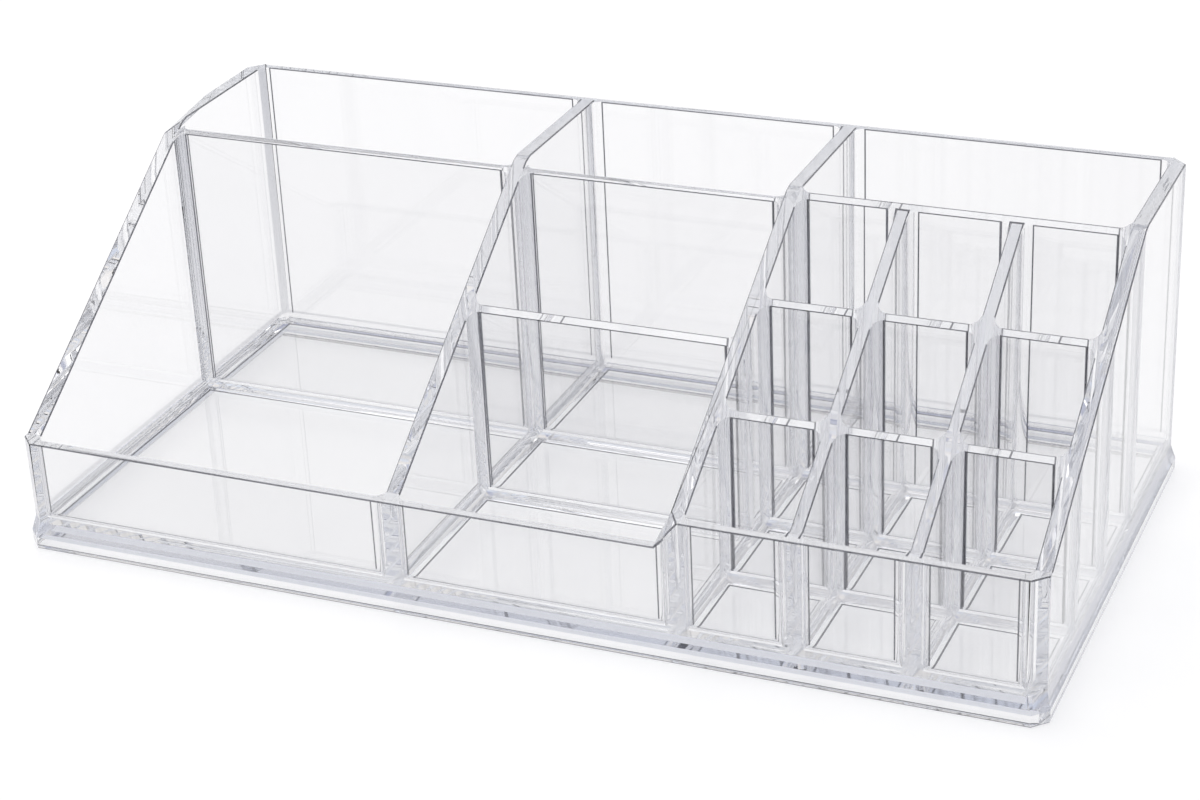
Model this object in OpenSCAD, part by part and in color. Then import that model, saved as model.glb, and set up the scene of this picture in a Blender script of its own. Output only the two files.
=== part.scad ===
// Clear vanity organizer: a dished base tray on a foot frame, wall panels, dividers and cross walls.
// Millimetres, +Z up, front towards -Y. The origin is the middle of the footprint, on the table.

/* [Overall] */
// Width across the outer faces of the side walls
body_w = 300; // [270:1:360]
// Depth from the front face to the back face
body_d = 151; // [138:1:180]
// Height of the level rear rim above the table
total_h = 96.5; // [88:0.5:130]

/* [Walls] */
// Thickness of the two side walls
side_t = 4.5; // [4.1:0.1:6]
// Thickness of the two main dividers
divider_t = 4.2; // [3:0.1:6]
// Thickness of the two dividers among the lipstick cells
lip_t = 3.6; // [2.6:0.1:5]
// Thickness of the back wall
back_t = 2.6; // [1.6:0.1:4]
// Thickness of the front walls
front_t = 2.8; // [1.6:0.1:4]
// Thickness of the cross walls
cross_t = 2; // [1.4:0.1:3]
// Radius of the coves where walls meet each other and the floor
cove_r = 3; // [1.5:0.1:4]
// Width of the 45-degree cut on the outer vertical corners
corner_cut = 4; // [2:0.1:4]

/* [Base] */
// Height of the foot frame's vertical band
foot_h = 3.6; // [2.5:0.1:6]
// How far the foot stands out beyond the walls
foot_out = 1.2; // [0.5:0.1:3]
// Height of the bevel between the foot and the walls
bevel_h = 4.6; // [3:0.1:7]
// Thickness of the floor
floor_t = 2.4; // [1.6:0.1:2.8]
// Width of the foot frame's band and of the tray's rim over it
rim_w = 6.5; // [6:0.1:9]
// Thickness of the foot frame's band
band_t = 3; // [2:0.1:5]

/* [Profile] */
// Height of the left and middle front walls
front_h = 33.6; // [28:0.2:45]
// Height of the front wall of the lipstick cells
lip_front_h = 41.7; // [36:0.1:50]
// Distance from the back face to the crest where the slope starts
crest_back = 51.4; // [45:0.1:60]
// Distance from the crest to each edge of the facet that breaks it
crest_break = 1.6; // [0.6:0.1:3]
// Distance from the crest back to the start of the left side wall's shoulder
shoulder_len = 21.7; // [12:0.1:30]
// How far the shoulder has dropped at the crest, on the outer face
shoulder_drop = 2.8; // [1:0.1:4]

// Width of the level rim left beside the ramp at the right divider's front
ramp_rim = 0.5; // [0.2:0.1:1]

/* [Compartments] */
// Clear width of the left bay
left_bay_w = 110.7; // [90:0.1:130]
// Clear width of the middle bay
middle_bay_w = 79.3; // [60:0.1:95]
// Distance from the back face to the rear cross walls of the left and middle bays
rear_back = 54.9; // [52:0.1:58]
// Distance from the front face to the front cross wall of the middle bay
middle_front = 56.4; // [40:0.1:70]
// Distance from the back face to the rear wall of the lipstick cells
lip_back = 53.6; // [52:0.1:56]

/* [Hidden] */
// Fineness of round outlines
round_fn = 96;
// Overrun of a cut past the face it opens
cut_over = 1;
cells_across = 3;
cells_deep = 3;

// Heights
floor_z = foot_h + bevel_h;
upstand_z = floor_z + cove_r;
floor_under_z = floor_z - floor_t;

// Places across the width
half_w = body_w / 2;
left_in = -half_w + side_t;
right_in = half_w - side_t;
divider_1 = left_in + left_bay_w + divider_t / 2;
divider_2 = divider_1 + middle_bay_w + divider_t;
cells_left = divider_2 + divider_t / 2;
cell_w = (right_in - cells_left - (cells_across - 1) * lip_t) / cells_across;
lip_1 = cells_left + cell_w + lip_t / 2;
lip_2 = lip_1 + cell_w + lip_t;

// Places along the depth
front_y = -body_d / 2;
back_y = body_d / 2;
front_in = front_y + front_t;
back_in = back_y - back_t;
land_y = front_in + cove_r;
crest_y = back_y - crest_back;
rear_y = back_y - rear_back;
middle_y = front_y + middle_front;
lip_rear_y = back_y - lip_back;
cell_d = (lip_rear_y - cross_t / 2 - front_in - (cells_deep - 1) * cross_t) / cells_deep;
row_1 = lip_rear_y - cell_d - cross_t;
row_2 = row_1 - cell_d - cross_t;

// Height of the sloping top at a place along the depth, for a front wall of height fh
function slope_z(y, fh) = fh + (total_h - fh) * max(0, y - land_y) / (crest_y - land_y);

// Where the ramp at the right divider's front starts across the width and ends along the depth
ramp_toe = divider_2 - divider_t / 2 - cove_r;
ramp_rear = land_y + ramp_rim;

// Outline of the walls seen from above, with its corners cut, grown by out
module footprint(out = 0) {
    w = half_w + out;
    d = back_y + out;
    c = corner_cut;
    polygon([[-w + c, -d], [w - c, -d], [w, -d + c], [w, d - c],
             [w - c, d], [-w + c, d], [-w, d - c], [-w, -d + c]]);
}

// Side view of a long wall, as depth and height: level rear rim, broken crest, straight slope,
// and a level land over the front wall
module long_outline(fh) {
    turn = atan((total_h - fh) / (crest_y - land_y));
    polygon([[front_y, upstand_z], [back_y, upstand_z], [back_y, total_h],
             [crest_y + crest_break, total_h],
             [crest_y - crest_break * cos(turn), total_h - crest_break * sin(turn)],
             [land_y, fh], [front_y, fh]]);
}

// The same side view between two places along the depth
module long_stretch(fh, front, rear) {
    intersection() {
        long_outline(fh);
        translate([front, 0]) {
            square([rear - front, total_h]);
        }
    }
}

// Stands a side view up at x, t thick about x
module stand(x, t) {
    translate([x - t / 2, 0, 0]) {
        rotate([90, 0, 90]) {
            linear_extrude(t) {
                children();
            }
        }
    }
}

// Takes off everything above the plane through a point with this normal, within reach of the point
module plane_cut(point, normal, reach) {
    translate(point) {
        rotate([0, acos(normal.z / norm(normal)), atan2(normal.y, normal.x)]) {
            translate([-reach, -reach, 0]) {
                cube([2 * reach, 2 * reach, reach]);
            }
        }
    }
}

// One cove in plan, between a face at x = 0 and a wall face at y = 0, rooted root deep in the wall
module cove(root) {
    difference() {
        translate([0, -root]) {
            square([cove_r, cove_r + root]);
        }
        translate([cove_r, cove_r]) {
            circle(r = cove_r, $fn = round_fn);
        }
    }
}

// Mirrors its children across each axis whose sign is negative
module flip(sx, sy) {
    mirror([sx < 0 ? 1 : 0, 0]) {
        mirror([0, sy < 0 ? 1 : 0]) {
            children();
        }
    }
}

// Coves on the listed faces of a wall of thickness t at y, beside a face at x.
// The side is 1 right of x and -1 left of it
module coves(x, y, t, side, faces) {
    for (face = faces) {
        translate([x, y + face * t / 2]) {
            flip(side, face) {
                cove(t / 2);
            }
        }
    }
}

// Plan of a wall from x0 to x1, t thick about y, with coves at both ends and beside each tee
module cross_plan(x0, x1, y, t, faces = [1, -1], tees = [], tee_t = 0, tee_faces = []) {
    translate([x0, y - t / 2]) {
        square([x1 - x0, t]);
    }
    coves(x0, y, t, 1, faces);
    coves(x1, y, t, -1, faces);
    for (x = tees) {
        coves(x + tee_t / 2, y, t, 1, tee_faces);
        coves(x - tee_t / 2, y, t, -1, tee_faces);
    }
}

// A wall standing on the tray, its top cut by the slope that ends at a front wall of height fh
module sloped_wall(fh, top = total_h) {
    intersection() {
        translate([0, 0, upstand_z]) {
            linear_extrude(top - upstand_z) {
                children();
            }
        }
        stand(0, body_w) {
            polygon([[front_y, 0], [back_y, 0], [back_y, total_h], [crest_y, total_h],
                     [land_y, fh], [front_y, fh]]);
        }
    }
}

// The corner that a rounded outline leaves outside its arc
module pocket_corner() {
    difference() {
        translate([-cut_over, -cut_over]) {
            square([cove_r + cut_over, cove_r + cut_over]);
        }
        translate([cove_r, cove_r]) {
            circle(r = cove_r, $fn = round_fn);
        }
    }
}

// Plan of a compartment with rounded corners
module pocket_plan(x0, x1, y0, y1) {
    difference() {
        translate([x0, y0]) {
            square([x1 - x0, y1 - y0]);
        }
        for (sx = [1, -1], sy = [1, -1]) {
            translate([sx > 0 ? x0 : x1, sy > 0 ? y0 : y1]) {
                flip(sx, sy) {
                    pocket_corner();
                }
            }
        }
    }
}

// End view of a dished floor from a to b, with rounded lower corners
module dish_profile(a, b) {
    difference() {
        translate([a, floor_z]) {
            square([b - a, cove_r + cut_over]);
        }
        for (side = [1, -1]) {
            translate([side > 0 ? a : b, floor_z]) {
                flip(side, 1) {
                    pocket_corner();
                }
            }
        }
    }
}

// The space that one compartment takes out of the tray
module dish(x0, x1, y0, y1) {
    intersection() {
        translate([0, 0, floor_z]) {
            linear_extrude(cove_r + cut_over) {
                pocket_plan(x0, x1, y0, y1);
            }
        }
        translate([0, y1, 0]) {
            rotate([90, 0, 0]) {
                linear_extrude(y1 - y0) {
                    dish_profile(x0, x1);
                }
            }
        }
        stand((x0 + x1) / 2, x1 - x0) {
            dish_profile(y0, y1);
        }
    }
}

// The dishes of all the compartments
module dishes() {
    half = cross_t / 2;
    wall = divider_t / 2;
    dish(left_in, divider_1 - wall, front_in, rear_y - half);
    dish(left_in, divider_1 - wall, rear_y + half, back_in);
    dish(divider_1 + wall, divider_2 - wall, front_in, middle_y - half);
    dish(divider_1 + wall, divider_2 - wall, middle_y + half, rear_y - half);
    dish(divider_1 + wall, divider_2 - wall, rear_y + half, back_in);
    dish(cells_left, right_in, lip_rear_y + half, back_in);
    for (column = [0:cells_across - 1], row = [0:cells_deep - 1]) {
        x = cells_left + column * (cell_w + lip_t);
        y = front_in + row * (cell_d + cross_t);
        dish(x, x + cell_w, y, y + cell_d);
    }
}

// The band that the organizer stands on, under the edge of the tray
module foot_frame() {
    inner_w = body_w + 2 * foot_out - 2 * band_t;
    inner_d = body_d + 2 * foot_out - 2 * band_t;
    color([0.90, 0.92, 0.95, 0.5]) {
        linear_extrude(foot_h) {
            difference() {
                footprint(foot_out);
                square([inner_w, inner_d], center = true);
            }
        }
    }
}

// What the bevel leaves outside one straight side whose wall face lies at x = face
module bevel_cut(face, out, length) {
    translate([0, length / 2, 0]) {
        rotate([90, 0, 0]) {
            linear_extrude(length) {
                polygon([[face + out, foot_h], [face, floor_z], [face, upstand_z + cut_over],
                         [face + 2 * out, upstand_z + cut_over], [face + 2 * out, foot_h]]);
            }
        }
    }
}

// The tray's block, bevelled from the foot's outline in to the walls' outline
module tray_block() {
    corner_face = (half_w + back_y - corner_cut) / sqrt(2);
    corner_out = sqrt(2) * foot_out;
    corner_shift = (half_w - back_y) / sqrt(2);
    difference() {
        translate([0, 0, foot_h]) {
            linear_extrude(upstand_z - foot_h) {
                footprint(foot_out);
            }
        }
        for (turn = [0, 180]) {
            rotate([0, 0, turn]) {
                bevel_cut(half_w, foot_out, 2 * body_d);
            }
            rotate([0, 0, turn + 90]) {
                bevel_cut(back_y, foot_out, 2 * body_w);
            }
            rotate([0, 0, turn + 45]) {
                translate([0, -corner_shift, 0]) {
                    bevel_cut(corner_face, corner_out, 4 * corner_cut + 4 * foot_out);
                }
            }
            rotate([0, 0, turn - 45]) {
                translate([0, corner_shift, 0]) {
                    bevel_cut(corner_face, corner_out, 4 * corner_cut + 4 * foot_out);
                }
            }
        }
    }
}

// The floor: one thin tray with a dish under every compartment and a hollow underside
module base_tray() {
    inner_w = body_w + 2 * foot_out - 2 * rim_w;
    inner_d = body_d + 2 * foot_out - 2 * rim_w;
    hollow = floor_under_z - foot_h;
    color([0.93, 0.95, 0.98, 0.5]) {
        difference() {
            tray_block();
            dishes();
            translate([-inner_w / 2, -inner_d / 2, foot_h - cut_over]) {
                cube([inner_w, inner_d, hollow + cut_over]);
            }
        }
    }
}

// A side wall: a long wall with its ends trimmed to the cut corners
module side_wall(x, fh) {
    intersection() {
        stand(x, side_t) {
            long_outline(fh);
        }
        linear_extrude(total_h) {
            footprint();
        }
    }
}

// The left side wall, whose outer edge falls away in a long shoulder before the crest
module left_side_wall() {
    color([0.88, 0.91, 0.95, 0.5]) {
        difference() {
            side_wall(-half_w + side_t / 2, front_h);
            plane_cut([left_in, crest_y, total_h],
                      [-shoulder_drop / side_t, -shoulder_drop / shoulder_len, 1], body_d / 2);
        }
    }
}

module right_side_wall() {
    color([0.88, 0.91, 0.95, 0.5]) {
        side_wall(half_w - side_t / 2, lip_front_h);
    }
}

// The back wall between the side walls, with coves towards the compartments
module back_wall() {
    color([0.92, 0.94, 0.97, 0.5]) {
        translate([0, 0, upstand_z]) {
            linear_extrude(total_h - upstand_z) {
                cross_plan(left_in, right_in, back_y - back_t / 2, back_t, faces = [-1],
                           tees = [divider_1, divider_2], tee_t = divider_t, tee_faces = [-1]);
            }
        }
    }
}

module left_divider() {
    color([0.88, 0.91, 0.95, 0.5]) {
        stand(divider_1, divider_t) {
            long_stretch(front_h, front_y, back_in);
        }
    }
}

// Keeps what lies under the slanting face that joins the middle front wall to the higher one
// beside it. The face goes through three points: its toe on the front wall, its head near the
// divider's right face, and its rear end on the divider's slope
module under_ramp() {
    toe = [ramp_toe, front_y, front_h];
    head = [cells_left - ramp_rim, front_y, lip_front_h];
    rear = [divider_2 - divider_t / 2, ramp_rear, slope_z(ramp_rear, lip_front_h)];
    difference() {
        children();
        plane_cut(toe, cross(head - toe, rear - toe), lip_front_h);
    }
}

// The right divider, with its low front corner cut by the ramp
module right_divider() {
    color([0.88, 0.91, 0.95, 0.5]) {
        under_ramp() {
            stand(divider_2, divider_t) {
                long_stretch(lip_front_h, front_y, back_in);
            }
        }
    }
}

// A divider among the lipstick cells, from the front wall to the cells' rear wall
module lipstick_divider(x) {
    color([0.90, 0.93, 0.96, 0.5]) {
        stand(x, lip_t) {
            long_stretch(lip_front_h, front_in, lip_rear_y - cross_t / 2);
        }
    }
}

module lipstick_divider_left() {
    lipstick_divider(lip_1);
}

module lipstick_divider_right() {
    lipstick_divider(lip_2);
}

// A front wall between two long walls, coved on its inner face only
module front_wall(x0, x1, fh, tees = []) {
    color([0.93, 0.95, 0.98, 0.5]) {
        sloped_wall(fh) {
            cross_plan(x0, x1, front_y + front_t / 2, front_t, faces = [1],
                       tees = tees, tee_t = lip_t, tee_faces = [1]);
        }
    }
}

module left_front_wall() {
    front_wall(left_in, divider_1 - divider_t / 2, front_h);
}

// The middle front wall, whose right end climbs into the ramp
module middle_front_wall() {
    x0 = divider_1 + divider_t / 2;
    x1 = divider_2 - divider_t / 2;
    front_wall(x0, x1, front_h);
    color([0.93, 0.95, 0.98, 0.5]) {
        under_ramp() {
            translate([0, 0, upstand_z]) {
                linear_extrude(lip_front_h - upstand_z) {
                    intersection() {
                        cross_plan(x0, x1, front_y + front_t / 2, front_t, faces = [1]);
                        polygon([[ramp_toe - ramp_rim, front_y], [x1, front_y], [x1, ramp_rear]]);
                    }
                }
            }
        }
    }
}

module right_front_wall() {
    front_wall(cells_left, right_in, lip_front_h, tees = [lip_1, lip_2]);
}

// A cross wall with a level top, a little in front of the crest
module rear_cross_wall(x0, x1) {
    color([0.94, 0.96, 0.98, 0.5]) {
        sloped_wall(front_h, slope_z(rear_y, front_h)) {
            cross_plan(x0, x1, rear_y, cross_t);
        }
    }
}

module left_rear_cross_wall() {
    rear_cross_wall(left_in, divider_1 - divider_t / 2);
}

module middle_rear_cross_wall() {
    rear_cross_wall(divider_1 + divider_t / 2, divider_2 - divider_t / 2);
}

module middle_front_cross_wall() {
    color([0.94, 0.96, 0.98, 0.5]) {
        sloped_wall(front_h) {
            cross_plan(divider_1 + divider_t / 2, divider_2 - divider_t / 2, middle_y, cross_t);
        }
    }
}

// The wall behind the lipstick cells, with coves beside the dividers that end at it
module lipstick_rear_wall() {
    color([0.94, 0.96, 0.98, 0.5]) {
        sloped_wall(lip_front_h) {
            cross_plan(cells_left, right_in, lip_rear_y, cross_t,
                       tees = [lip_1, lip_2], tee_t = lip_t, tee_faces = [-1]);
        }
    }
}

// A short wall between one lipstick cell and the next behind it
module cell_wall(column, y) {
    x = cells_left + column * (cell_w + lip_t);
    color([0.95, 0.96, 0.98, 0.5]) {
        sloped_wall(lip_front_h) {
            cross_plan(x, x + cell_w, y, cross_t);
        }
    }
}

module cell_wall_rear_left() {
    cell_wall(0, row_1);
}

module cell_wall_rear_middle() {
    cell_wall(1, row_1);
}

module cell_wall_rear_right() {
    cell_wall(2, row_1);
}

module cell_wall_front_left() {
    cell_wall(0, row_2);
}

module cell_wall_front_middle() {
    cell_wall(1, row_2);
}

module cell_wall_front_right() {
    cell_wall(2, row_2);
}

foot_frame();
base_tray();
left_side_wall();
right_side_wall();
back_wall();
left_divider();
right_divider();
lipstick_divider_left();
lipstick_divider_right();
left_front_wall();
middle_front_wall();
right_front_wall();
left_rear_cross_wall();
middle_rear_cross_wall();
middle_front_cross_wall();
lipstick_rear_wall();
cell_wall_rear_left();
cell_wall_rear_middle();
cell_wall_rear_right();
cell_wall_front_left();
cell_wall_front_middle();
cell_wall_front_right();
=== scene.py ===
"""Clear vanity organizer: one glossy moulding of bonded walls, dividers, tray and foot.

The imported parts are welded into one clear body, its rims are rounded, and the body is parted
again at the bonded joints, so that every wall stays a closed piece of its own while light
passes the joints as it does in the real moulding.
"""
from __future__ import annotations

import logging
import math
from collections.abc import Sequence
from dataclasses import dataclass, field
from enum import Enum
from functools import cache

import bmesh
import bpy
from mathutils import Matrix, Vector


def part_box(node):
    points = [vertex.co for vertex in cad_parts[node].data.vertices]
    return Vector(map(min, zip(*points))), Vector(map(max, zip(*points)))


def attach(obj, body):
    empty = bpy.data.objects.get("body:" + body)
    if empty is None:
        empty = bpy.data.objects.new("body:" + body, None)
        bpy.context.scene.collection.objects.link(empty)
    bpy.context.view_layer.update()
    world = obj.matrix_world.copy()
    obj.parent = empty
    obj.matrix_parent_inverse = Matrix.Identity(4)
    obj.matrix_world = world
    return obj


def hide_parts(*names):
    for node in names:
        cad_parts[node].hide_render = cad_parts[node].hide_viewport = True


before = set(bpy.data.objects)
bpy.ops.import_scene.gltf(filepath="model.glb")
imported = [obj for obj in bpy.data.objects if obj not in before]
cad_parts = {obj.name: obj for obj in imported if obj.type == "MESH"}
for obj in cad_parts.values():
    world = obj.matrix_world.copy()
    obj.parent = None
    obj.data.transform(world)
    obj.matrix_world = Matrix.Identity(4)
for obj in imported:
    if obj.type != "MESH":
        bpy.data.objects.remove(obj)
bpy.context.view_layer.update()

LOG = logging.getLogger("organizer")
MM = 0.001
CM3_PER_M3 = 1e6
PLACE_GRAINS_PER_M = 1e8
BODY = "root"
Colour = tuple[float, float, float]


class Axis(Enum):
    """Axis that a joint plane stands across."""

    X = 0
    Y = 1
    Z = 2


class Slot(Enum):
    """Order of the finishes on every piece."""

    PLASTIC = 0
    JOINT = 1
    # painted shade: near-black tint on rounded rims and on the strips beside arcs
    EDGE_SHADE_PAINT = 2
    # painted shade: darker lavender-grey tint on the tray's slanted bevel
    BEVEL = 3


class RecordSlot(Enum):
    """Finishes that the record names."""

    PANEL = "clear_panel"
    BASE = "clear_base"


# ---------------------------------------------------------------- shader helpers


class Nodes:
    """Places and joins shader nodes in one tree."""

    def __init__(self, tree: bpy.types.NodeTree) -> None:
        """Keeps the tree that the nodes go into."""
        self.tree = tree

    def add(self, kind: str, **settings: object) -> bpy.types.Node:
        """Adds one node.

        Args:
            kind: Blender's name of the node type.
            settings: properties set on the node.

        Returns:
            The new node.
        """
        node = self.tree.nodes.new(kind)
        for key, value in settings.items():
            setattr(node, key, value)
        return node

    def link(self, source: bpy.types.NodeSocket, target: bpy.types.NodeSocket) -> None:
        """Joins an output socket to an input socket."""
        self.tree.links.new(source, target)

    def math(self, operation: str, first: object, second: object = 0.0) -> bpy.types.NodeSocket:
        """Adds a Math node.

        Args:
            operation: Blender's name of the operation.
            first: a socket or a number.
            second: a socket or a number.

        Returns:
            The node's output socket.
        """
        node = self.add("ShaderNodeMath", operation=operation)
        for socket, value in zip(node.inputs, (first, second)):
            if isinstance(value, bpy.types.NodeSocket):
                self.link(value, socket)
            else:
                socket.default_value = value
        return node.outputs[0]


def moulded_surface() -> bpy.types.NodeTree:
    """Builds the shader group for the slow waves and uneven tint of a moulded clear surface.

    Returns:
        The group, with outputs Tint and Normal.
    """
    name = "moulded surface"
    if name in bpy.data.node_groups:
        return bpy.data.node_groups[name]
    group = bpy.data.node_groups.new(name, "ShaderNodeTree")
    face = group.interface
    for label, kind in (
        ("Wave scale", "NodeSocketFloat"),
        ("Wave depth", "NodeSocketFloat"),
        ("Clear tint", "NodeSocketColor"),
        ("Deep tint", "NodeSocketColor"),
    ):
        face.new_socket(label, in_out="INPUT", socket_type=kind)
    for label, kind in (
        ("Tint", "NodeSocketColor"),
        ("Normal", "NodeSocketVector"),
    ):
        face.new_socket(label, in_out="OUTPUT", socket_type=kind)
    nodes = Nodes(group)
    given = nodes.add("NodeGroupInput")
    out = nodes.add("NodeGroupOutput")
    place = nodes.add("ShaderNodeTexCoord")
    wave = nodes.add("ShaderNodeTexNoise")
    wave.inputs["Detail"].default_value = 1.0
    nodes.link(place.outputs["Object"], wave.inputs["Vector"])
    nodes.link(given.outputs["Wave scale"], wave.inputs["Scale"])
    bump = nodes.add("ShaderNodeBump")
    bump.inputs["Strength"].default_value = 1.0
    nodes.link(given.outputs["Wave depth"], bump.inputs["Distance"])
    nodes.link(wave.outputs["Fac"], bump.inputs["Height"])
    nodes.link(bump.outputs["Normal"], out.inputs["Normal"])
    tint = nodes.add("ShaderNodeMix", data_type="RGBA")
    nodes.link(wave.outputs["Fac"], tint.inputs["Factor"])
    nodes.link(given.outputs["Clear tint"], tint.inputs["A"])
    nodes.link(given.outputs["Deep tint"], tint.inputs["B"])
    nodes.link(tint.outputs["Result"], out.inputs["Tint"])
    return group


# ---------------------------------------------------------------- finishes


@dataclass(frozen=True)
class ClearPlastic:
    """Glossy clear plastic that lets lamps through, so that the table under it stays bright.

    Attributes:
        name: the material's name.
        clear_tint: what a surface lets through where it is clearest.
        deep_tint: what a surface lets through where it is least clear.
        shade: what lamps and the table's light keep on their way through.
        ior: index of refraction.
        roughness: roughness of the polished surface.
        wave_scale: waves of the surface in a metre.
        wave_depth: depth of the waves.
        depth_grey: how strongly a metre of the plastic absorbs.
        depth_colour: the colour that it absorbs least.
    """

    name: str
    clear_tint: Colour = (0.945, 0.945, 0.949)
    deep_tint: Colour = (0.93, 0.93, 0.935)
    shade: Colour = (0.985, 0.987, 0.99)
    ior: float = 1.5
    roughness: float = 0.0
    wave_scale: float = 40.0
    wave_depth: float = 0.0000015
    depth_grey: float = 0.6
    depth_colour: Colour = (0.0, 0.05, 0.25)

    def material(self) -> bpy.types.Material:
        """Builds the material on first use.

        Returns:
            The material.
        """
        if self.name in bpy.data.materials:
            return bpy.data.materials[self.name]
        made = bpy.data.materials.new(self.name)
        made.use_nodes = True
        nodes = Nodes(made.node_tree)
        made.node_tree.nodes.clear()
        surface = nodes.add("ShaderNodeGroup", node_tree=moulded_surface())
        surface.inputs["Wave scale"].default_value = self.wave_scale
        surface.inputs["Wave depth"].default_value = self.wave_depth
        surface.inputs["Clear tint"].default_value = (*self.clear_tint, 1.0)
        surface.inputs["Deep tint"].default_value = (*self.deep_tint, 1.0)
        glass = nodes.add("ShaderNodeBsdfPrincipled")
        glass.inputs["Metallic"].default_value = 0.0
        glass.inputs["Transmission Weight"].default_value = 1.0
        glass.inputs["IOR"].default_value = self.ior
        glass.inputs["Roughness"].default_value = self.roughness
        nodes.link(surface.outputs["Tint"], glass.inputs["Base Color"])
        nodes.link(surface.outputs["Normal"], glass.inputs["Normal"])
        clear = nodes.add("ShaderNodeBsdfTransparent")
        clear.inputs["Color"].default_value = (*self.shade, 1.0)
        path = nodes.add("ShaderNodeLightPath")
        seen = glass
        for ray in ("Is Diffuse Ray", "Is Shadow Ray"):
            mix = nodes.add("ShaderNodeMixShader")
            nodes.link(path.outputs[ray], mix.inputs["Fac"])
            nodes.link(seen.outputs[0], mix.inputs[1])
            nodes.link(clear.outputs[0], mix.inputs[2])
            seen = mix
        depth = nodes.add("ShaderNodeVolumeAbsorption")
        depth.inputs["Color"].default_value = (*self.depth_colour, 1.0)
        depth.inputs["Density"].default_value = self.depth_grey
        out = nodes.add("ShaderNodeOutputMaterial")
        nodes.link(seen.outputs[0], out.inputs["Surface"])
        nodes.link(depth.outputs[0], out.inputs["Volume"])
        return made


@dataclass(frozen=True)
class BondedJoint:
    """Bonded face between two pieces, through which light passes unbent."""

    name: str = "bonded joint"

    def material(self) -> bpy.types.Material:
        """Builds the material on first use.

        Returns:
            The material.
        """
        if self.name in bpy.data.materials:
            return bpy.data.materials[self.name]
        made = bpy.data.materials.new(self.name)
        made.use_nodes = True
        nodes = Nodes(made.node_tree)
        made.node_tree.nodes.clear()
        clear = nodes.add("ShaderNodeBsdfTransparent")
        out = nodes.add("ShaderNodeOutputMaterial")
        nodes.link(clear.outputs[0], out.inputs["Surface"])
        return made


# ---------------------------------------------------------------- the moulding


@cache
def box_of(node: str) -> tuple[Vector, Vector]:
    """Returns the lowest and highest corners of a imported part."""
    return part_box(node)


def middle(front_node: str, rear_node: str) -> float:
    """Returns the place along the depth halfway through the space between two parts."""
    return (box_of(front_node)[1].y + box_of(rear_node)[0].y) / 2


@dataclass
class JointPlan:
    """Where the members of the moulding meet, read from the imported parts.

    Attributes:
        foot_top: height of the joint between the foot and the tray.
        tray_top: height of the joint between the tray and the walls.
        left_in: inner face of the left side wall.
        right_in: inner face of the right side wall.
        back_in: front face of the back wall.
        front_in: front ends of the lipstick dividers.
        cells_rear: rear ends of the lipstick dividers.
        dividers: the walls between the bays.
        cells_dividers: the walls between the columns of lipstick cells.
        cells_columns: those columns, from the left.
    """

    foot_top: float = field(default_factory=lambda: box_of("foot_frame")[1].z)
    tray_top: float = field(default_factory=lambda: box_of("base_tray")[1].z)
    left_in: float = field(default_factory=lambda: box_of("left_side_wall")[1].x)
    right_in: float = field(default_factory=lambda: box_of("right_side_wall")[0].x)
    back_in: float = field(default_factory=lambda: box_of("left_divider")[1].y)
    front_in: float = field(default_factory=lambda: box_of("lipstick_divider_left")[0].y)
    cells_rear: float = field(default_factory=lambda: box_of("lipstick_divider_left")[1].y)
    dividers: tuple[str, str] = ("left_divider", "right_divider")
    cells_dividers: tuple[str, str] = ("lipstick_divider_left", "lipstick_divider_right")
    cells_columns: tuple[str, str, str] = ("left", "middle", "right")

    def slab(self, node: str) -> tuple[float, float]:
        """Returns the left and right faces of an upright wall."""
        low, high = box_of(node)
        return low.x, high.x

    def planes(self) -> list[tuple[Axis, float]]:
        """Lists the planes that part the walls from each other.

        Returns:
            Each plane's axis and its place on that axis.
        """
        across = [self.left_in, self.right_in]
        for node in (*self.dividers, *self.cells_dividers):
            across += self.slab(node)
        along = [self.front_in, self.cells_rear, self.back_in]
        return [(Axis.X, x) for x in sorted(across)] + [(Axis.Y, y) for y in along]

    def owner(self, point: Vector) -> str:
        """Names the member that a point in the plastic belongs to.

        Args:
            point: a place inside the moulding.

        Returns:
            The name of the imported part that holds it.
        """
        if point.z < self.foot_top:
            return "foot_frame"
        if point.z < self.tray_top:
            return "base_tray"
        if point.x < self.left_in:
            return "left_side_wall"
        if point.x > self.right_in:
            return "right_side_wall"
        if point.y > self.back_in:
            return "back_wall"
        left, right = (self.slab(node) for node in self.dividers)
        if point.x < left[0]:
            return self.first_before(point.y, ("left_front_wall", "left_rear_cross_wall"))
        if point.x < left[1]:
            return "left_divider"
        if point.x < right[0]:
            return self.first_before(
                point.y,
                ("middle_front_wall", "middle_front_cross_wall", "middle_rear_cross_wall"),
            )
        if point.x < right[1]:
            return "right_divider"
        return self.cells_owner(point)

    def first_before(self, y: float, walls: tuple[str, ...]) -> str:
        """Finds the wall of a bay that a place in the plastic belongs to.

        Args:
            y: the place along the depth.
            walls: the bay's cross walls, from the front.

        Returns:
            The wall whose stretch of the depth holds y, or the back wall.
        """
        for wall, behind in zip(walls, (*walls[1:], "back_wall")):
            if y < middle(wall, behind):
                return wall
        return "back_wall"

    def cells_owner(self, point: Vector) -> str:
        """Names the member among the lipstick cells that a point belongs to.

        Args:
            point: a place inside the moulding, right of the right divider.

        Returns:
            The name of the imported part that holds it.
        """
        column = 0
        for divider in self.cells_dividers:
            low, high = self.slab(divider)
            if low < point.x < high and self.front_in < point.y <= self.cells_rear:
                return divider
            if point.x > (low + high) / 2:
                column += 1
        name = self.cells_columns[column]
        return self.first_before(
            point.y,
            (
                "right_front_wall",
                "cell_wall_front_" + name,
                "cell_wall_rear_" + name,
                "lipstick_rear_wall",
            ),
        )


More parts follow.
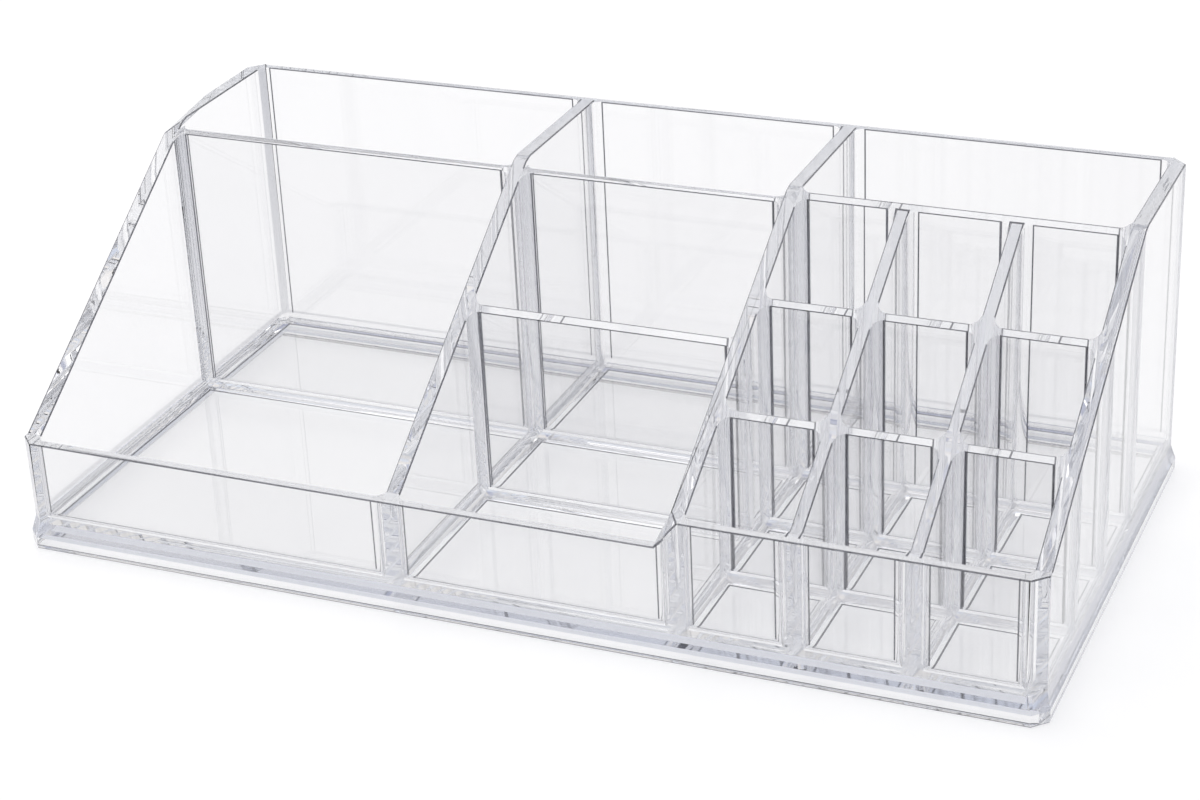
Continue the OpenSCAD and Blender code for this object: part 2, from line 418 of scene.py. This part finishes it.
def merged_copy(mesh: bpy.types.Mesh, reach: float) -> bmesh.types.BMesh:
    """Makes an editable copy of a mesh.

    Args:
        mesh: the mesh.
        reach: points closer than this become one.

    Returns:
        The copy.
    """
    work = bmesh.new()
    work.from_mesh(mesh)
    bmesh.ops.remove_doubles(work, verts=work.verts, dist=reach)
    return work


def open_edges(work: bmesh.types.BMesh) -> int:
    """Counts the edges where a mesh isn't closed."""
    return sum(1 for edge in work.edges if not edge.is_manifold)


def everything(work: bmesh.types.BMesh) -> list:
    """Returns all points, edges and faces of a mesh."""
    return [*work.verts, *work.edges, *work.faces]


def place_key(co: Vector) -> tuple[int, int, int]:
    """Rounds a place to a hundredth of a micrometre, to match points of two meshes."""
    return tuple(round(value * PLACE_GRAINS_PER_M) for value in co)


@dataclass(frozen=True)
class WallEnd:
    """An end of a wall that meets another wall: side is -1 at the low end, 1 at the high one."""

    axis: Axis
    side: int
    at: float


@dataclass
class Moulding:
    """The clear body: it is welded from the parts, its rims are rounded, and it is parted.

    Attributes:
        joints: where the members meet.
        rim_radius: radius of the rounded edges.
        rim_steps: facets of a rounded edge.
        rim_profile: roundness of an edge, where a half is an arc of a circle.
        rim_angle: edges bent by more degrees than this are rounded.
        rim_start: height over the tray where rounding starts.
        rim_least: edges shorter than this stay crisp.
        root_depth: how far a wall's end roots in the wall that it meets.
        merge_reach: points closer than this are one point.
        joint_reach: a point closer than this to a joint plane lies on it.
        flat_angle: faces bent by fewer degrees than this are one flat face.
        inward: step from a face into the plastic behind it.
        band_least: least width of the foot's band.
        under: the parts under the walls.
        smooth_angle: edges bent by fewer degrees than this are shaded smoothly.
        normal_weight: how far large faces rule the shading of rounded edges.
        arc_angle: least and most degrees between a flat face and an arc's first facet.
        arc_width: facets of an arc are narrower than this.
        arc_least: arcs shorter than this get no painted shade line.
        line_width: width of the strip of painted shade where an arc runs out.
        bevel_lean: least and most upward lean of the bevel's faces that get painted shade.
        bevel_from: half the width and depth outside which the tray's bevel, with its painted
            shade, lies.
    """

    joints: JointPlan
    rim_radius: float = 0.35 * MM
    rim_steps: int = 2
    rim_profile: float = 0.5
    rim_angle: float = 35.0
    rim_start: float = 1.0 * MM
    rim_least: float = 2.0 * MM
    root_depth: float = 0.5 * MM
    merge_reach: float = 0.001 * MM
    joint_reach: float = 0.002 * MM
    flat_angle: float = 0.3
    inward: float = 0.0005 * MM
    band_least: float = 1.5 * MM
    under: tuple[str, ...] = ("foot_frame", "base_tray")
    smooth_angle: float = 40.0
    normal_weight: int = 100
    arc_angle: tuple[float, float] = (1.0, 25.0)
    arc_width: float = 1.0 * MM
    arc_least: float = 5.0 * MM
    line_width: float = 0.75 * MM
    bevel_lean: tuple[float, float] = (0.1, 0.95)
    bevel_from: tuple[float, float] = (147.0 * MM, 72.5 * MM)

    def weld(self) -> bmesh.types.BMesh:
        """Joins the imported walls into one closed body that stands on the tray.

        Returns:
            The body, with flat faces kept whole.
        """
        helpers = []
        for name in self.walls():
            mesh = bpy.data.meshes.new("weld_" + name)
            work = merged_copy(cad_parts[name].data, self.merge_reach)
            self.flatten(work)
            self.snap(work)
            ends = self.ends(name, work)
            self.round_rims(work, self.joints.tray_top + self.rim_start, math.inf, ends)
            self.root_ends(work, ends)
            work.to_mesh(mesh)
            work.free()
            for _ in Slot:
                mesh.materials.append(BondedJoint().material())
            helper = bpy.data.objects.new("weld_" + name, mesh)
            bpy.context.scene.collection.objects.link(helper)
            helpers.append(helper)
        body = helpers[0]
        for helper in helpers[1:]:
            join = body.modifiers.new(helper.name, "BOOLEAN")
            join.operation = "UNION"
            join.solver = "MANIFOLD"
            join.object = helper
        graph = bpy.context.evaluated_depsgraph_get()
        mesh = bpy.data.meshes.new_from_object(body.evaluated_get(graph))
        work = merged_copy(mesh, self.merge_reach)
        for helper in helpers:
            data = helper.data
            bpy.data.objects.remove(helper)
            bpy.data.meshes.remove(data)
        bpy.data.meshes.remove(mesh)
        self.flatten(work)
        self.mark_joint(work, self.joints.tray_top, -1)
        LOG.info("welded walls: %d faces, %d open edges", len(work.faces), open_edges(work))
        return work

    def snap(self, work: bmesh.types.BMesh) -> None:
        """Sets points that lie within rounding of a joint plane exactly on it.

        Args:
            work: the mesh.
        """
        for axis, at in self.joints.planes():
            k = axis.value
            for vert in work.verts:
                if abs(vert.co[k] - at) < self.merge_reach:
                    vert.co[k] = at

    def ends(self, name: str, work: bmesh.types.BMesh) -> list[WallEnd]:
        """Finds where a wall ends against another.

        Args:
            name: the wall.
            work: its mesh.

        Returns:
            Each such end.
        """
        if name.endswith("side_wall"):
            return []
        axis = Axis.Y if "divider" in name else Axis.X
        sides = (1,) if name in self.joints.dividers else (-1, 1)
        reach = [vert.co[axis.value] for vert in work.verts]
        return [WallEnd(axis, side, max(reach) if side > 0 else min(reach)) for side in sides]

    def root_ends(self, work: bmesh.types.BMesh, ends: list[WallEnd]) -> None:
        """Lets the ends of a wall root a little in the walls that they meet.

        Args:
            work: the wall's mesh.
            ends: the wall's ends.
        """
        for end in ends:
            for vert in work.verts:
                if abs(vert.co[end.axis.value] - end.at) < self.merge_reach:
                    vert.co[end.axis.value] = end.at + end.side * self.root_depth

    def walls(self) -> list[str]:
        """Returns the names of the parts that stand on the tray."""
        return [name for name in sorted(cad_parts) if name not in self.under]

    def flatten(self, work: bmesh.types.BMesh) -> None:
        """Makes each flat face of a mesh one face again.

        Args:
            work: the mesh.
        """
        bmesh.ops.dissolve_limit(
            work,
            angle_limit=math.radians(self.flat_angle),
            verts=work.verts,
            edges=work.edges,
            delimit={"MATERIAL"},
        )

    def mark_joint(self, work: bmesh.types.BMesh, height: float, side: int) -> None:
        """Gives the joint finish to the level faces at a height.

        Args:
            work: the mesh.
            height: the height that the faces lie at.
            side: 1 for faces that look up, -1 for faces that look down.
        """
        work.normal_update()
        for face in work.faces:
            level = max(abs(vert.co.z - height) for vert in face.verts) < self.joint_reach
            if level and face.normal.z * side > 0:
                face.material_index = Slot.JOINT.value

    def round_rims(
        self,
        work: bmesh.types.BMesh,
        low: float,
        high: float,
        ends: Sequence[WallEnd] = (),
    ) -> None:
        """Rounds the straight outer edges of a mesh, as a mould and a polish leave them.

        Args:
            work: the mesh.
            low: the height above which edges are rounded.
            high: the height under which edges are rounded.
            ends: the ends that meet other walls and stay crisp.
        """
        limit = math.radians(self.rim_angle)

        def at_end(edge: bmesh.types.BMEdge) -> bool:
            """Tells whether an edge lies on an end that meets another wall.

            Args:
                edge: the edge.

            Returns:
                True where all of it lies on one such end.
            """
            for end in ends:
                places = [vert.co[end.axis.value] for vert in edge.verts]
                if all(abs(place - end.at) < self.merge_reach for place in places):
                    return True
            return False

        rims = [
            edge
            for edge in work.edges
            if edge.is_manifold
            and edge.is_convex
            and edge.calc_face_angle(0.0) > limit
            and edge.calc_length() > self.rim_least
            and all(low < vert.co.z < high for vert in edge.verts)
            and not at_end(edge)
        ]
        bmesh.ops.bevel(
            work,
            geom=rims,
            offset=self.rim_radius,
            offset_type="OFFSET",
            segments=self.rim_steps,
            profile=self.rim_profile,
            affect="EDGES",
            clamp_overlap=False,
            # the rounded faces get painted shade: the rim finish's near-black tint
            material=Slot.EDGE_SHADE_PAINT.value,
        )

    def tray(self) -> bmesh.types.BMesh:
        """Makes the tray, with joint faces under the walls and over the foot's band.

        Returns:
            The tray's mesh.
        """
        work = merged_copy(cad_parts["base_tray"].data, self.merge_reach)
        self.flatten(work)
        self.mark_joint(work, self.joints.tray_top, 1)
        inner = self.band_inside()
        for k in (0, 1):
            for side in (-1, 1):
                under = [
                    face
                    for face in work.faces
                    if max(abs(vert.co.z - self.joints.foot_top) for vert in face.verts)
                    < self.joint_reach
                ]
                parts = (item for face in under for item in (*face.verts, *face.edges, face))
                spot, normal = Vector(), Vector()
                spot[k], normal[k] = side * inner[k], 1.0
                bmesh.ops.bisect_plane(
                    work,
                    geom=list(dict.fromkeys(parts)),
                    dist=self.merge_reach,
                    plane_co=spot,
                    plane_no=normal,
                )
        for face in work.faces:
            centre = face.calc_center_median()
            over_band = abs(centre.x) > inner[0] or abs(centre.y) > inner[1]
            if abs(centre.z - self.joints.foot_top) < self.merge_reach and over_band:
                face.material_index = Slot.JOINT.value
        LOG.info("tray: %d faces, %d open edges", len(work.faces), open_edges(work))
        return work

    def band_inside(self) -> tuple[float, float]:
        """Measures the room inside the foot's band.

        Returns:
            Half its clear width and half its clear depth.
        """
        spots = [vert.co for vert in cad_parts["foot_frame"].data.vertices]
        reach = max(abs(spot.x) for spot in spots), max(abs(spot.y) for spot in spots)
        inner = [
            spot
            for spot in spots
            if abs(spot.x) < reach[0] - self.band_least
            and abs(spot.y) < reach[1] - self.band_least
        ]
        return abs(inner[0].x), abs(inner[0].y)

    def foot(self) -> bmesh.types.BMesh:
        """Makes the foot's band, with its top as the joint face.

        Returns:
            The foot's mesh.
        """
        work = merged_copy(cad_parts["foot_frame"].data, self.merge_reach)
        self.flatten(work)
        self.mark_joint(work, self.joints.foot_top, 1)
        self.round_rims(work, -self.rim_radius, self.joints.foot_top / 2)
        LOG.info("foot: %d faces, %d open edges", len(work.faces), open_edges(work))
        return work

    def cleave(self, work: bmesh.types.BMesh, axis: Axis, at: float) -> list[bmesh.types.BMesh]:
        """Parts a closed mesh at a plane and closes both halves with joint faces.

        Args:
            work: the mesh, which is used up.
            axis: the axis that the plane stands across.
            at: the plane's place on that axis.

        Returns:
            The halves that hold any faces.
        """
        k = axis.value
        spot, normal = Vector(), Vector()
        spot[k], normal[k] = at, 1.0
        bmesh.ops.bisect_plane(
            work, geom=everything(work), dist=self.merge_reach, plane_co=spot, plane_no=normal
        )
        near = [vert for vert in work.verts if abs(vert.co[k] - at) < self.joint_reach]
        for vert in near:
            vert.co[k] = at
        bmesh.ops.remove_doubles(work, verts=near, dist=self.merge_reach)
        low, high = work, work.copy()
        for half, side in ((low, 1), (high, -1)):
            away = []
            for part in half.faces:
                gap = max((vert.co[k] - at for vert in part.verts), key=abs)
                if gap == 0.0:
                    gap = -part.normal[k]
                if gap * side > 0:
                    away.append(part)
            bmesh.ops.delete(half, geom=away, context="FACES")
        rim = [edge for edge in low.edges if edge.is_boundary]
        if rim:
            made = bmesh.ops.triangle_fill(low, edges=rim, use_beauty=True, normal=normal)
            caps = [part for part in made["geom"] if isinstance(part, bmesh.types.BMFace)]
            there = {place_key(vert.co): vert for vert in high.verts if vert.is_boundary}
            for cap in caps:
                cap.material_index = Slot.JOINT.value
                if cap.normal[k] < 0:
                    cap.normal_flip()
                corners = [there.get(place_key(vert.co)) for vert in reversed(cap.verts)]
                if None in corners:
                    LOG.warning("a joint face at %s %.4f has no match", axis.name, at)
                    continue
                twin = high.faces.new(corners)
                twin.material_index = Slot.JOINT.value
        for half in (low, high):
            if open_edges(half):
                LOG.warning(
                    "%d open edges after the joint at %s %.4f",
                    open_edges(half),
                    axis.name,
                    at,
                )
        return [half for half in (low, high) if half.faces]

    def part(self, work: bmesh.types.BMesh) -> dict[str, bmesh.types.BMesh]:
        """Parts the welded walls into their members.

        Args:
            work: the rounded walls, which are used up.

        Returns:
            A closed mesh for every packed wall, by name.
        """
        blocks = [work]
        for axis, at in self.joints.planes():
            blocks = [half for block in blocks for half in self.cleave(block, axis, at)]
        members: dict[str, bmesh.types.BMesh] = {name: bmesh.new() for name in self.walls()}
        for block in blocks:
            block.normal_update()
            for face in block.faces:
                centre = face.calc_center_median()
                step = face.normal * self.inward
                name = self.joints.owner(centre - step)
                joint = face.material_index == Slot.JOINT.value
                if joint and self.joints.owner(centre + step) == name:
                    continue
                member = members[name]
                corners = [member.verts.new(vert.co) for vert in face.verts]
                copy = member.faces.new(corners)
                copy.material_index = face.material_index
            block.free()
        for name, member in members.items():
            bmesh.ops.remove_doubles(member, verts=member.verts, dist=self.merge_reach)
            self.flatten(member)
            LOG.info(
                "member %s: %d faces, %d open edges, %.2f cm3",
                name,
                len(member.faces),
                open_edges(member),
                member.calc_volume() * CM3_PER_M3,
            )
        return members

    def paint_arc_shade_lines(self, member: bmesh.types.BMesh) -> None:
        """Paints shade on the strips where an arc runs out into a flat face, by giving them the
        rim finish's near-black tint.

        Args:
            member: the mesh of one member.
        """
        least, most = (math.radians(angle) for angle in self.arc_angle)
        narrow = {face for face in member.faces if self.width(face) < self.arc_width}
        for seam in member.edges:
            faces = seam.link_faces
            if len(faces) != 2 or seam.calc_length() < self.arc_least:
                continue
            if not least < seam.calc_face_angle(0.0) < most:
                continue
            found = [face for face in faces if face in narrow]
            if len(found) != 1:
                continue
            start = seam.verts[0].co
            along = (seam.verts[1].co - start).normalized()
            while found:
                face = found.pop()
                apart = max((vert.co - start).cross(along).length for vert in face.verts)
                if face.material_index == Slot.PLASTIC.value and apart < self.line_width:
                    face.material_index = Slot.EDGE_SHADE_PAINT.value
                    found += [
                        near
                        for edge in face.edges
                        for near in edge.link_faces
                        if near in narrow and near.material_index == Slot.PLASTIC.value
                    ]

    def paint_bevel_shade(self, tray: bmesh.types.BMesh) -> None:
        """Paints shade on the slanted faces round the tray's edge, by giving them the bevel
        finish's darker tint.

        Args:
            tray: the tray's mesh.
        """
        least, most = self.bevel_lean
        wide, deep = self.bevel_from
        for face in tray.faces:
            x, y, _ = face.calc_center_median()
            outer = abs(x) > wide or abs(y) > deep
            outward = face.normal.x * x + face.normal.y * y > 0
            plain = face.material_index == Slot.PLASTIC.value
            if outer and outward and plain and least < face.normal.z < most:
                face.material_index = Slot.BEVEL.value

    def width(self, face: bmesh.types.BMFace) -> float:
        """Returns the mean width of a face."""
        return face.calc_area() / max(edge.calc_length() for edge in face.edges)

    def shade(self, member: bmesh.types.BMesh) -> None:
        """Shades arcs and rims smoothly, and keeps flats and joints crisp.

        Args:
            member: the mesh of one member.
        """
        limit = math.radians(self.smooth_angle)
        for face in member.faces:
            face.smooth = True
        for edge in member.edges:
            faces = edge.link_faces
            mixed = len({face.material_index == Slot.JOINT.value for face in faces}) > 1
            edge.smooth = len(faces) == 2 and not mixed and edge.calc_face_angle(0.0) < limit

    def build(
        self,
        finishes: dict[RecordSlot, ClearPlastic],
        rim: ClearPlastic,
        bevel: ClearPlastic,
    ) -> list[bpy.types.Object]:
        """Makes every piece, hangs it under the body's empty, and hides the imported part that
        it stands for.

        Args:
            finishes: the plastic of each record slot.
            rim: the plastic whose near-black tint is painted shade on rounded edges and on the
                lines beside arcs.
            bevel: the plastic whose darker tint is painted shade on the tray's bevel.

        Returns:
            The pieces.
        """
        body = self.weld()
        members = {"foot_frame": self.foot(), "base_tray": self.tray(), **self.part(body)}
        pieces = []
        for name, member in members.items():
            self.paint_arc_shade_lines(member)
            if name == "base_tray":
                self.paint_bevel_shade(member)
            self.shade(member)
            mesh = bpy.data.meshes.new("moulded_" + name)
            member.to_mesh(mesh)
            member.free()
            piece = bpy.data.objects.new("moulded_" + name, mesh)
            bpy.context.scene.collection.objects.link(piece)
            slot = RecordSlot.BASE if name in self.under else RecordSlot.PANEL
            for finish in (finishes[slot], BondedJoint(), rim, bevel):
                mesh.materials.append(finish.material())
            evened = piece.modifiers.new("even normals", "WEIGHTED_NORMAL")
            evened.keep_sharp = True
            evened.weight = self.normal_weight
            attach(piece, BODY)
            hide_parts(name)
            pieces.append(piece)
        return pieces


# ---------------------------------------------------------------- studio


@dataclass
class Studio:
    """Plain pale floor, soft light, and the camera at the photograph's angle.

    Attributes:
        azimuth: the camera's direction round the object, in degrees from the front.
        elevation: its angle over the table, in degrees.
        roll: its turn about its own axis, in degrees.
        target: the place it looks at.
        distance: from the target to the camera.
        focal_px: its focal length in pixels of the photograph.
        frame_px: the photograph's width in pixels.
        sensor: width of its sensor in millimetres.
        nearest: nearest distance that it shows.
        floor_size: side of the square floor.
        floor_gap: how far the floor lies under the foot.
        floor_colour: the floor's paint.
        floor_glow: light added to the floor as the camera, gloss and glass see it.
        sky_bands: colours of the room from low over the table to straight up.
        white: the room as the camera sees it.
        lamp_size: width and depth of the soft lamp.
        lamp_power: its power in watts.
        lamp_place: where it hangs.
        bounces: how many surfaces light may pass or bounce from.
    """

    azimuth: float = 23.96
    elevation: float = 26.08
    roll: float = -2.757
    target: tuple[float, float, float] = (0.00025, -0.00243, 0.03518)
    distance: float = 0.7955
    focal_px: float = 2770.0
    frame_px: float = 1200.0
    sensor: float = 36.0
    nearest: float = 0.01
    floor_size: float = 8.0
    floor_gap: float = 0.2 * MM
    floor_colour: Colour = (0.6, 0.6, 0.603)
    floor_glow: float = 0.42
    sky_bands: tuple[tuple[float, Colour], ...] = (
        (0.0, (0.9, 0.9, 0.91)),
        (0.26, (0.9, 0.91, 0.93)),
        (0.33, (0.62, 0.65, 0.72)),
        (0.4, (0.86, 0.85, 0.84)),
        (0.55, (0.9, 0.88, 0.86)),
        (0.68, (0.82, 0.87, 0.97)),
        (0.8, (0.97, 0.93, 0.89)),
        (1.0, (1.0, 1.0, 1.02)),
    )
    white: Colour = (1.0, 1.0, 1.0)
    lamp_size: tuple[float, float] = (1.6, 1.2)
    lamp_power: float = 5.0
    lamp_place: tuple[float, float, float] = (-0.6, 0.3, 1.6)
    bounces: int = 64

    def camera(self) -> None:
        """Places the camera."""
        az, el = math.radians(self.azimuth), math.radians(self.elevation)
        roll = math.radians(self.roll)
        back = Vector((math.sin(az) * math.cos(el), -math.cos(az) * math.cos(el), math.sin(el)))
        right = Vector((0.0, 0.0, 1.0)).cross(back).normalized()
        up = back.cross(right)
        right, up = (
            math.cos(roll) * right + math.sin(roll) * up,
            -math.sin(roll) * right + math.cos(roll) * up,
        )
        data = bpy.data.cameras.new("camera")
        data.sensor_width = self.sensor
        data.lens = self.focal_px / self.frame_px * self.sensor
        data.clip_start = self.nearest
        camera = bpy.data.objects.new("camera", data)
        bpy.context.scene.collection.objects.link(camera)
        turn = Matrix((right, up, back)).transposed().to_4x4()
        place = Matrix.Translation(Vector(self.target) + back * self.distance)
        camera.matrix_world = place @ turn
        bpy.context.scene.camera = camera

    def floor(self) -> None:
        """Lays the floor, which keeps the object's shadow and renders as white as its paint."""
        work = bmesh.new()
        bmesh.ops.create_grid(work, x_segments=1, y_segments=1, size=self.floor_size / 2)
        mesh = bpy.data.meshes.new("floor")
        work.to_mesh(mesh)
        work.free()
        floor = bpy.data.objects.new("floor", mesh)
        floor.location.z = -self.floor_gap
        bpy.context.scene.collection.objects.link(floor)
        made = bpy.data.materials.new("floor white")
        made.use_nodes = True
        nodes = Nodes(made.node_tree)
        made.node_tree.nodes.clear()
        paint = nodes.add("ShaderNodeBsdfDiffuse")
        paint.inputs["Color"].default_value = (*self.floor_colour, 1.0)
        glow = nodes.add("ShaderNodeEmission")
        path = nodes.add("ShaderNodeLightPath")
        seen = path.outputs["Is Camera Ray"]
        for ray in ("Is Glossy Ray", "Is Transmission Ray"):
            seen = nodes.math("MAXIMUM", seen, path.outputs[ray])
        nodes.link(nodes.math("MULTIPLY", seen, self.floor_glow), glow.inputs["Strength"])
        both = nodes.add("ShaderNodeAddShader")
        nodes.link(paint.outputs[0], both.inputs[0])
        nodes.link(glow.outputs[0], both.inputs[1])
        out = nodes.add("ShaderNodeOutputMaterial")
        nodes.link(both.outputs[0], out.inputs["Surface"])
        mesh.materials.append(made)

    def sky(self) -> None:
        """Sets the light of the room: pale bands, with a darker one low over the table."""
        world = bpy.data.worlds.new("studio")
        world.use_nodes = True
        bpy.context.scene.world = world
        nodes = Nodes(world.node_tree)
        world.node_tree.nodes.clear()
        place = nodes.add("ShaderNodeTexCoord")
        parts = nodes.add("ShaderNodeSeparateXYZ")
        nodes.link(place.outputs["Generated"], parts.inputs[0])
        ramp = nodes.add("ShaderNodeValToRGB")
        ramp.color_ramp.interpolation = "EASE"
        for at, _ in self.sky_bands[1:-1]:
            ramp.color_ramp.elements.new(at)
        for element, (at, colour) in zip(ramp.color_ramp.elements, self.sky_bands):
            element.position = at
            element.color = (*colour, 1.0)
        nodes.link(parts.outputs["Z"], ramp.inputs["Fac"])
        path = nodes.add("ShaderNodeLightPath")
        mix = nodes.add("ShaderNodeMix", data_type="RGBA")
        nodes.link(path.outputs["Is Camera Ray"], mix.inputs["Factor"])
        nodes.link(ramp.outputs["Color"], mix.inputs["A"])
        mix.inputs["B"].default_value = (*self.white, 1.0)
        back = nodes.add("ShaderNodeBackground")
        nodes.link(mix.outputs["Result"], back.inputs["Color"])
        out = nodes.add("ShaderNodeOutputWorld")
        nodes.link(back.outputs[0], out.inputs["Surface"])

    def lamps(self) -> None:
        """Hangs the soft lamp over the table."""
        data = bpy.data.lights.new("soft lamp", "AREA")
        data.shape = "RECTANGLE"
        data.size, data.size_y = self.lamp_size
        data.energy = self.lamp_power
        lamp = bpy.data.objects.new("soft lamp", data)
        bpy.context.scene.collection.objects.link(lamp)
        spot = Vector(self.lamp_place)
        aim = spot.to_track_quat("Z", "Y").to_matrix().to_4x4()
        lamp.matrix_world = Matrix.Translation(spot) @ aim

    def build(self) -> None:
        """Builds the whole stage, and lets light pass many walls."""
        scene = bpy.context.scene
        self.floor()
        self.sky()
        self.lamps()
        self.camera()
        scene.view_settings.view_transform = "Standard"
        scene.cycles.max_bounces = self.bounces
        scene.cycles.transmission_bounces = self.bounces
        scene.cycles.glossy_bounces = self.bounces
        scene.cycles.transparent_max_bounces = self.bounces
        scene.cycles.caustics_reflective = False
        scene.cycles.caustics_refractive = False


def main() -> None:
    """Builds the organizer and its stage."""
    logging.basicConfig(level=logging.INFO, format="%(name)s: %(message)s")
    finishes = {
        RecordSlot.PANEL: ClearPlastic("clear panel"),
        RecordSlot.BASE: ClearPlastic("clear base"),
    }
    # painted shade: a near-black tint standing in for the dark lines that bent light draws along
    # edges and arcs
    rim = ClearPlastic(
        "polished rim", clear_tint=(0.13, 0.13, 0.145), deep_tint=(0.01, 0.012, 0.02)
    )
    # painted shade: a darker lavender-grey tint on the tray's slanted bevel
    bevel = ClearPlastic(
        "tray bevel", clear_tint=(0.75, 0.765, 0.83), deep_tint=(0.65, 0.67, 0.75)
    )
    for piece in Moulding(JointPlan()).build(finishes, rim, bevel):
        LOG.info("piece %s", piece.name)
    Studio().build()


if __name__ == "__main__":
    main()
